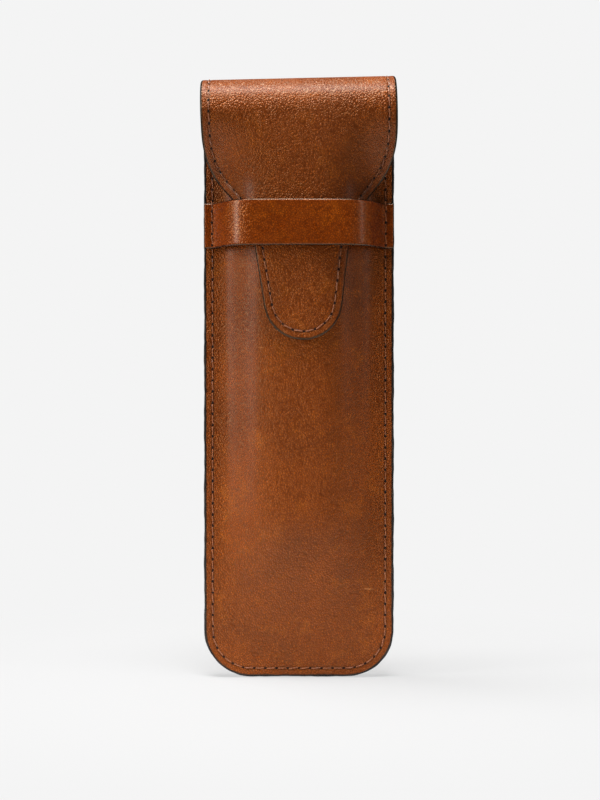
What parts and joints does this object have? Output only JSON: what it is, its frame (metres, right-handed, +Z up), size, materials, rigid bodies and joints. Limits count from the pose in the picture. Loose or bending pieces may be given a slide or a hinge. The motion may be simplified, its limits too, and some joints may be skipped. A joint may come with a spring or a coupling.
{
  "type": "leather slip case",
  "caption": "Slim upright leather slip case with a moulded stitched front, a fold-over flap and a tongue that tucks under a keeper strap; lined and stiffened.",
  "frame": {"origin": "under the middle of the closed case, at the level of its bottom seam", "axes": "+Z up along the case from the bottom seam to the fold, the front with the strap faces -Y, +X to the right seen from the front"},
  "size_m": [0.0559, 0.0212, 0.1739],
  "materials": {
    "saddle_leather": "waxed, satin",
    "suede": "napped, matte",
    "fibreboard": "matte",
    "waxed_thread": "waxed"
  },
  "bodies": {
    "case": {"front_panel": "saddle_leather", "front_lining": "suede", "back_panel": "saddle_leather", "back_lining": "suede", "back_board": "fibreboard", "keeper_strap": "saddle_leather", "front_seam_thread": "waxed_thread", "back_seam_thread": "waxed_thread", "mouth_thread": "waxed_thread"},
    "crown": {"crown_leather": "saddle_leather", "crown_lining": "suede", "crown_thread_left": "waxed_thread", "crown_thread_right": "waxed_thread"},
    "flap": {"flap_leather": "saddle_leather", "flap_lining": "suede", "flap_thread_left": "waxed_thread", "flap_thread_right": "waxed_thread", "tongue_leather": "saddle_leather", "tongue_lining": "suede", "tongue_thread": "waxed_thread"}
  },
  "joints": [
    {"name": "flap_open", "type": "hinge", "parent": "case", "child": "crown", "pos_m": [-0.00018, 0.00785, 0.17065], "axis": [-0.9997, 0, -0.0227], "range_deg": [0, 90], "deforming": ["tongue_leather", "tongue_lining", "tongue_thread"]},
    {"name": "crown_unfold", "type": "hinge", "parent": "crown", "child": "flap", "pos_m": [-0.00018, -0.00785, 0.17065], "axis": [-0.9997, 0, -0.0227], "range_deg": [0, 90]}
  ],
  "couplings": [
    {"joint": "crown_unfold", "follows": "flap_open", "ratio": 1}
  ]
}
